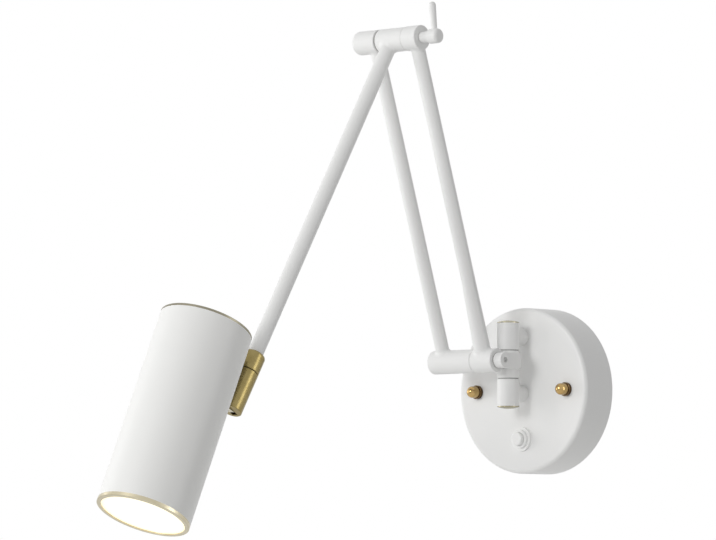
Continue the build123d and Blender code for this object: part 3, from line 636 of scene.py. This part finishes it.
# ---- Seam ring of the elbow's clamp
# Thin white nylon ring that stands almost flush in the narrow gap between forearm hub and clamp
# hub, so that the joint shows there only as a faint line.

ring_nylon = moulded_plastic(
    "white_nylon", "E6E6E4", "E0E0DE",
    roughness=0.45, grain_width=0.0006, grain_strength=0.25, ior=1.53,
)
seam_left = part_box("forearm_hub")[1][0]
seam_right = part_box("right_elbow_hub")[0][0]
seam_clearance = 0.00003
seam_outer = 0.0084
seam_inner = 0.0078
seam_facets = 96
seam_ring = bmesh.new()
seam_outline = [
    (seam_left + seam_clearance, seam_inner), (seam_right - seam_clearance, seam_inner),
    (seam_right - seam_clearance, seam_outer), (seam_left + seam_clearance, seam_outer),
]
seam_corners = [seam_ring.verts.new((x, 0, radius)) for x, radius in seam_outline]
for corner, following in zip(seam_corners, seam_corners[1:] + seam_corners[:1]):
    seam_ring.edges.new((corner, following))
bmesh.ops.spin(
    seam_ring, geom=seam_ring.verts[:] + seam_ring.edges[:], cent=(0, 0, 0), axis=(1, 0, 0),
    angle=math.tau, steps=seam_facets, use_merge=True,
)
bmesh.ops.translate(seam_ring, verts=seam_ring.verts, vec=(0, elbow[1], elbow[2]))
finished_piece("elbow_seam_ring", seam_ring, "lower_arm", ring_nylon)


# ---- Plated steel: bracket, studs, nuts, washers, pins and screws
# Mild steel, stamped or turned and zinc plated. The plating is bright with a soft bluish-grey
# cloud and a faint matt grain.

def clouded_metal(name, colour, shade, roughness, cloud_width, grain_width):
    """Metal skin with slow clouds in its tint and a fine grain in its gloss and relief."""
    material, tree, shader, place = new_finish(name)
    cloud = add_node(
        tree, "ShaderNodeTexNoise",
        inputs={
            "Vector": (place, "Object"),
            "Scale": 1 / cloud_width,
            "Detail": 4.0,
            "Roughness": 0.6,
        },
    )
    tint = add_node(
        tree, "ShaderNodeMix", data_type="RGBA",
        inputs={"Factor": (cloud, "Fac"), "A": to_linear(colour), "B": to_linear(shade)},
    )
    tree.links.new(tint.outputs["Result"], shader.inputs["Base Color"])
    grain = add_node(
        tree, "ShaderNodeTexNoise",
        inputs={"Vector": (place, "Object"), "Scale": 1 / grain_width, "Detail": 2.0},
    )
    gloss = add_node(
        tree, "ShaderNodeMapRange",
        inputs={
            "Value": (grain, "Fac"),
            "To Min": roughness - 0.08,
            "To Max": roughness + 0.10,
        },
    )
    tree.links.new(gloss.outputs["Result"], shader.inputs["Roughness"])
    relief = add_node(
        tree, "ShaderNodeBump",
        inputs={"Height": (grain, "Fac"), "Strength": 0.25, "Distance": relief_depth},
    )
    tree.links.new(relief.outputs["Normal"], shader.inputs["Normal"])
    shader.inputs["Metallic"].default_value = 1.0
    return material


zinc_plate = clouded_metal(
    "zinc_plated_steel", "C4C7CA", "AEB2B6",
    roughness=0.32, cloud_width=0.008, grain_width=0.0006,
)
wear(
    zinc_plate, "wall_bracket", "bracket_studs", "knuckle_washers", "knuckle_nuts", "hinge_pin",
    "switch_nut", "pivot_nut", "pivot_spring_washer", "elbow_axle", "cross_spigot",
    "swivel_screw", "neck_nut", "terminal_screws",
)


# ---- Switch spring
# Coil of bright zinc plated spring wire that pushes the button out, cold wound with seven turns.
# It takes the place of the plain tube that stands for it in the CAD.

spring_low, spring_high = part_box("switch_spring")
wire_radius = 0.00033
wire_facets = 10
spring_turns = 7
coil_radius = (spring_high[0] - spring_low[0]) / 2 - wire_radius
coil_start = spring_low[1] + wire_radius
coil_rise = spring_high[1] - spring_low[1] - 2 * wire_radius
coil_middle = ((spring_low[0] + spring_high[0]) / 2, 0, (spring_low[2] + spring_high[2]) / 2)
spring_steps_per_turn = 32
spring_steps = spring_turns * spring_steps_per_turn
coil = bmesh.new()
bmesh.ops.create_circle(
    coil, cap_ends=True, segments=wire_facets, radius=wire_radius,
    matrix=Matrix.Translation((coil_middle[0] + coil_radius, coil_start, coil_middle[2])),
)
bmesh.ops.spin(
    coil, geom=coil.faces[:], cent=coil_middle, axis=(0, 1, 0), angle=math.tau * spring_turns,
    dvec=(0, coil_rise / spring_steps, 0), steps=spring_steps, use_merge=False,
)
spring = finished_piece("switch_coil", coil, "base", zinc_plate)
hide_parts("switch_spring")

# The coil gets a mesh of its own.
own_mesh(spring)


# ---- Contact blades
# The switch's two contacts, stamped from brass strip that is rolled bright and left bare. They
# have a slight brown tarnish.

contact_strip = clouded_metal(
    "rolled_brass_strip", "CDAA62", "B48E4A",
    roughness=0.28, cloud_width=0.003, grain_width=0.0004,
)
wear(contact_strip, "switch_blades")


# ---- Reflector, light board and heat sink
# The reflector is bright spun aluminium. The board is aluminium under white solder mask with a
# yellow phosphor chip, and the heat sink is a bare die casting with a sandy grain.

spun_aluminium = clouded_metal(
    "spun_aluminium", "DEDFE0", "D0D2D4",
    roughness=0.18, cloud_width=0.010, grain_width=0.0005,
)
cast_aluminium = clouded_metal(
    "die_cast_aluminium", "A6A8AA", "94969A",
    roughness=0.50, cloud_width=0.006, grain_width=0.0008,
)
solder_mask = moulded_plastic(
    "white_solder_mask", "EFEFEA", "E8E8E2",
    roughness=0.35, grain_width=0.0008, grain_strength=0.15, ior=1.5,
)
phosphor = moulded_plastic(
    "phosphor_gel", "F0D25A", "E8C440",
    roughness=0.25, grain_width=0.0006, grain_strength=0.20, ior=1.41,
)
wear(spun_aluminium, "reflector")
wear(cast_aluminium, "heat_sink")
wear(solder_mask, "led_board")
wear(phosphor, "led_chip")
